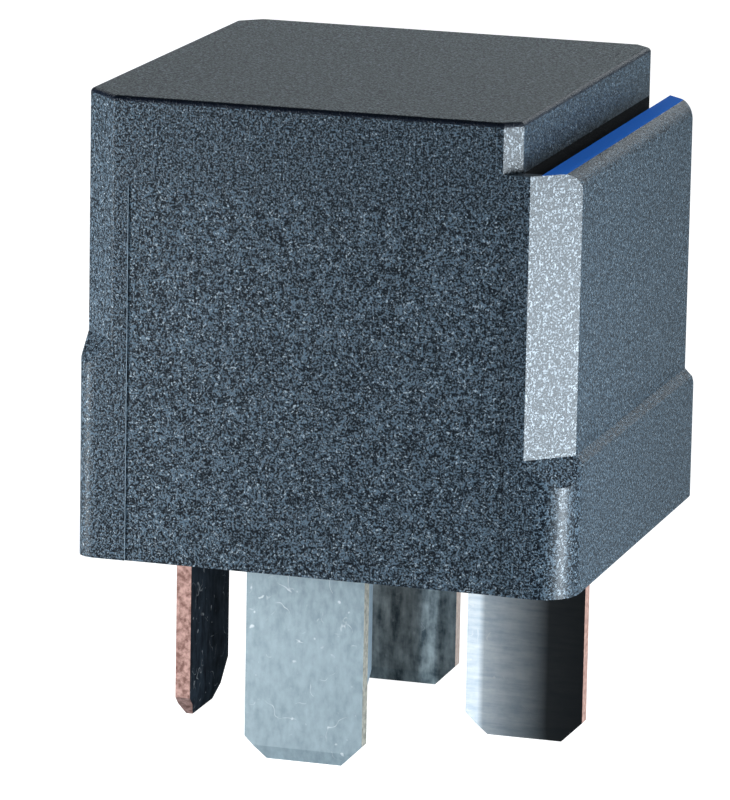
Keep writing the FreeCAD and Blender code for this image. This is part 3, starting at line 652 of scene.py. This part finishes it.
base_plastic = moulded_plastic(
    "base_plastic",
    dark=colour(14, 16, 20),
    light=colour(52, 56, 62),
    pits=4200.0,
    contrast=0.8,
    rough=0.0,
    bump_strength=0.4,
)
bobbin_plastic = moulded_plastic(
    "bobbin_plastic",
    dark=colour(196, 190, 172),
    light=colour(226, 220, 204),
    pits=2800.0,
    contrast=0.5,
    rough=-0.1,
    bump_strength=0.2,
)
resistor_lacquer = moulded_plastic(
    "resistor_lacquer",
    dark=colour(96, 150, 168),
    light=colour(120, 176, 192),
    pits=1500.0,
    contrast=0.4,
    rough=-0.3,
    bump_strength=0.1,
)
wear_finish("base_plate", base_plastic)
wear_finish("bobbin", bobbin_plastic)
wear_finish("resistor", resistor_lacquer)
print("inside finished")

# %% [markdown]
# ## The turns of the winding
#
# The solid winding is a plain collar. On the real coil, enamelled wire lies in close turns, each one
# touching the next. One turn is a ring, and an array lays its copies up the tube. The turns sink a little
# into each other, so no gap shows between them, and they fill the collar's height exactly.


# %% Model the turns
def one_ring(name, middle, radius, wire):
    bpy.ops.object.select_all(action="DESELECT")
    bpy.ops.mesh.primitive_torus_add(
        location=middle, major_radius=radius, minor_radius=wire, major_segments=64, minor_segments=10
    )
    made = bpy.context.active_object
    made.name = name
    return made


def settle(piece, finish):
    """Brings a piece's origin to the middle of the scene, smooths it and gives it its finish."""
    bpy.ops.object.select_all(action="DESELECT")
    piece.select_set(True)
    bpy.context.view_layer.objects.active = piece
    bpy.ops.object.transform_apply(location=True, rotation=True, scale=True)
    bpy.ops.object.shade_smooth_by_angle(angle=math.radians(40))
    piece.data.materials.clear()
    piece.data.materials.append(finish)
    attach(piece, "relay")
    print(piece.name, "faces:", len(piece.data.polygons))


WIRE = 0.14 * MM
PITCH = 1.9 * WIRE
winding_long = winding_high[2] - winding_low[2]
TURNS = round((winding_long - 2 * WIRE) / PITCH) + 1
turn_step = (winding_long - 2 * WIRE) / (TURNS - 1)
coil_x = (winding_low[0] + winding_high[0]) / 2
coil_radius = (winding_high[0] - winding_low[0]) / 2
turns = one_ring("winding_turns", (coil_x, 0.0, winding_low[2] + WIRE), coil_radius - WIRE, WIRE)
stack = turns.modifiers.new("stack", "ARRAY")
stack.use_relative_offset = False
stack.use_constant_offset = True
stack.constant_offset_displace = (0.0, 0.0, turn_step)
stack.count = TURNS
bpy.ops.object.modifier_apply(modifier=stack.name)
settle(turns, enamel)
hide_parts("winding")
print("turns:", TURNS, "step in mm:", round(turn_step / MM, 3))

# %% [markdown]
# ## The sealing bead
#
# The mouth is closed with a sealing compound that is poured round the base plate and cures. It creeps up
# the cover's inner wall, so its face slopes from the wall to the plate. The bead starts as a block of the
# mouth's size. Its upright edges are cut like the mouth's corners, and a frame is then kept of it: inset,
# opened and bridged.


# %% Model the bead
def pick_faces(piece, wanted):
    """Selects the faces that a test on their middle and direction picks."""
    bpy.ops.object.mode_set(mode="OBJECT")
    for face in piece.data.polygons:
        face.select = bool(wanted(face.center, face.normal))
    for edge in piece.data.edges:
        edge.select = False
    bpy.ops.object.mode_set(mode="EDIT")
    bpy.ops.mesh.select_mode(type="FACE")


def pick_edges(piece, wanted):
    """Selects the edges that a test on their two ends picks."""
    bpy.ops.object.mode_set(mode="OBJECT")
    points = piece.data.vertices
    for face in piece.data.polygons:
        face.select = False
    for point in points:
        point.select = False
    for edge in piece.data.edges:
        edge.select = bool(wanted(points[edge.vertices[0]].co, points[edge.vertices[1]].co))
    bpy.ops.object.mode_set(mode="EDIT")
    bpy.ops.mesh.select_mode(type="EDGE")


def sealing_bead(finish):
    """A frame that fills the mouth between the cover's inner wall and the base plate."""
    wall_in, step, rim_up = 1.0 * MM, 0.4 * MM, 0.05 * MM
    slope, width, rest = 0.12 * MM, 0.55 * MM, 0.06 * MM
    low = Vector((cover_low[0] + wall_in, cover_low[1] + wall_in, rim_up))
    high = Vector((cover_high[0] - step - wall_in, cover_high[1] - wall_in, base_low[2]))
    bpy.ops.object.select_all(action="DESELECT")
    bpy.ops.mesh.primitive_cube_add(size=1.0, location=(low + high) / 2)
    bead = bpy.context.active_object
    bead.name = "sealing_bead"
    bead.scale = high - low
    bpy.ops.object.transform_apply(location=True, rotation=True, scale=True)
    middle_x = (low.x + high.x) / 2
    corners = {(-1, -1): 1.9 * MM, (-1, 1): 1.15 * MM, (1, -1): 2.1 * MM, (1, 1): 2.1 * MM}
    for (side_x, side_y), leg in corners.items():

        def at_corner(a, b):
            upright = abs(a.z - b.z) > 0.1 * MM and abs(a.x - b.x) < 1e-6
            return upright and (a.x - middle_x) * side_x > 0 and a.y * side_y > 0

        pick_edges(bead, at_corner)
        bpy.ops.mesh.bevel(offset=leg, offset_type="OFFSET", segments=1, affect="EDGES")
    pick_faces(bead, lambda middle, normal: normal.z < -0.9)
    bpy.ops.mesh.inset(thickness=slope)
    bpy.ops.mesh.inset(thickness=width)
    bpy.ops.transform.translate(value=(0, 0, high.z - low.z - rest))
    bpy.ops.mesh.delete(type="FACE")
    pick_faces(bead, lambda middle, normal: normal.z > 0.9)
    bpy.ops.mesh.inset(thickness=slope + width)
    bpy.ops.mesh.delete(type="FACE")
    bpy.ops.mesh.select_mode(type="EDGE")
    bpy.ops.mesh.select_all(action="DESELECT")
    bpy.ops.mesh.select_non_manifold()
    bpy.ops.mesh.bridge_edge_loops()
    bpy.ops.mesh.select_all(action="SELECT")
    bpy.ops.mesh.normals_make_consistent(inside=False)
    bpy.ops.object.mode_set(mode="OBJECT")
    settle(bead, finish)
    return bead


sealing_resin = moulded_plastic(
    "sealing_resin",
    dark=colour(20, 22, 24),
    light=colour(44, 46, 50),
    pits=1200.0,
    contrast=0.5,
    rough=-0.25,
    bump_strength=0.15,
)
bead = sealing_bead(sealing_resin)

# %% [markdown]
# ## Table, light and camera
#
# The relay stands on a pale table that glows a little, so that it reads as a clean studio sweep. The glow
# that the object itself receives is dimmer and cooler, because black plastic mirrors a bright table too
# strongly. A small light close at the right makes the corner flats on that side shine, and a larger one
# further back fills the right side. A wide weak one at the left front fills the front, a narrow one draws
# the left edges, and a low one behind gives the roof its sheen, on top of the lighter tone painted into
# the roof's colour. Nothing hangs overhead, and the rounded edge round the roof is painted dark as shade,
# so it stays dark.

# %% The table
bpy.ops.object.select_all(action="DESELECT")
bpy.ops.mesh.primitive_plane_add(size=6.0, location=(0, 0, FLOOR_Z))
table = bpy.context.active_object
table.name = "table"
table_finish, table_tree, table_shader, table_places = new_material("pale_table")
table_tone = noise(table_tree, table_places["Object"], 40.0, 2.0, 0.5)
table_grey = blend(table_tree, table_tone, (0.30, 0.30, 0.30, 1.0), (0.33, 0.33, 0.33, 1.0))
feed(table_tree, table_shader.inputs["Base Color"], table_grey)
table_shader.inputs["Roughness"].default_value = 0.9
seen = table_tree.nodes.new("ShaderNodeLightPath").outputs["Is Camera Ray"]
table_glow = blend(table_tree, seen, (0.236, 0.319, 0.38, 1.0), (1.0, 1.0, 1.0, 1.0))
feed(table_tree, table_shader.inputs["Emission Color"], table_glow)
table_shader.inputs["Emission Strength"].default_value = 1.0
table.data.materials.append(table_finish)


# %% The lights
def soft_light(name, place, aim, wide, high, power, tint=(1.0, 1.0, 1.0)):
    """A rectangular light at a place, turned to a point. Sizes are in metres and power in watts."""
    lamp = bpy.data.lights.new(name, "AREA")
    lamp.shape = "RECTANGLE"
    lamp.size = wide
    lamp.size_y = high
    lamp.energy = power
    lamp.color = tint
    holder = bpy.data.objects.new(name, lamp)
    bpy.context.scene.collection.objects.link(holder)
    holder.location = place
    holder.rotation_euler = (Vector(aim) - Vector(place)).to_track_quat("-Z", "Y").to_euler()


MIDDLE = (0.0, 0.0, 0.008)
COOL, PALE_BLUE = (0.86, 0.94, 1.0), (0.92, 0.97, 1.0)
soft_light(
    "right_light",
    place=(0.052, -0.024, 0.004),
    aim=(0.012, -0.012, 0.010),
    wide=0.016,
    high=0.030,
    power=0.043,
    tint=COOL,
)
soft_light(
    "right_back",
    place=(0.12, 0.09, 0.085),
    aim=(0.012, 0.0, 0.020),
    wide=0.10,
    high=0.06,
    power=0.13,
    tint=PALE_BLUE,
)
soft_light(
    "front_fill",
    place=(-0.35, -0.62, 0.22),
    aim=MIDDLE,
    wide=0.45,
    high=0.35,
    power=0.9,
    tint=COOL,
)
soft_light(
    "left_strip",
    place=(-0.046, -0.034, 0.007),
    aim=(-0.013, -0.013, 0.007),
    wide=0.010,
    high=0.036,
    power=0.050,
)
soft_light(
    "back_light",
    place=(-0.20, 0.72, 0.18),
    aim=MIDDLE,
    wide=0.8,
    high=0.25,
    power=1.15,
    tint=(0.88, 0.95, 1.0),
)

world = bpy.data.worlds.new("room")
bpy.context.scene.world = world
world.use_nodes = True
background = world.node_tree.nodes["Background"]
background.inputs["Color"].default_value = (0.85, 0.93, 1.0, 1.0)
background.inputs["Strength"].default_value = 0.15
bpy.context.scene.view_settings.view_transform = "Standard"

# %% [markdown]
# ## The camera
#
# It looks from the right of the front and a little above, through a long lens, and it leans by one
# degree. The camera's three axes are worked out from those angles and put straight into its matrix.

# %% Camera from its angles
AZIMUTH, ELEVATION, LEAN = math.radians(17.069), math.radians(12.674), math.radians(1.094)
CAMERA_PLACE = Vector((88.37, -293.42, 75.36)) * MM
level_look = Vector((-math.sin(AZIMUTH), math.cos(AZIMUTH), 0))
look = level_look * math.cos(ELEVATION) - Vector((0, 0, math.sin(ELEVATION)))
level_right = Vector((math.cos(AZIMUTH), math.sin(AZIMUTH), 0))
level_up = level_right.cross(look)
right = level_right * math.cos(LEAN) + level_up * math.sin(LEAN)
up = level_up * math.cos(LEAN) - level_right * math.sin(LEAN)
lens = bpy.data.cameras.new("camera")
lens.sensor_fit = "VERTICAL"
lens.sensor_height = 36.0
lens.lens = 272.7
lens.clip_start = 0.01
camera = bpy.data.objects.new("camera", lens)
bpy.context.scene.collection.objects.link(camera)
camera.matrix_world = Matrix.Translation(CAMERA_PLACE) @ Matrix((right, up, -look)).transposed().to_4x4()
bpy.context.scene.camera = camera
print("camera at", [round(v, 4) for v in CAMERA_PLACE])
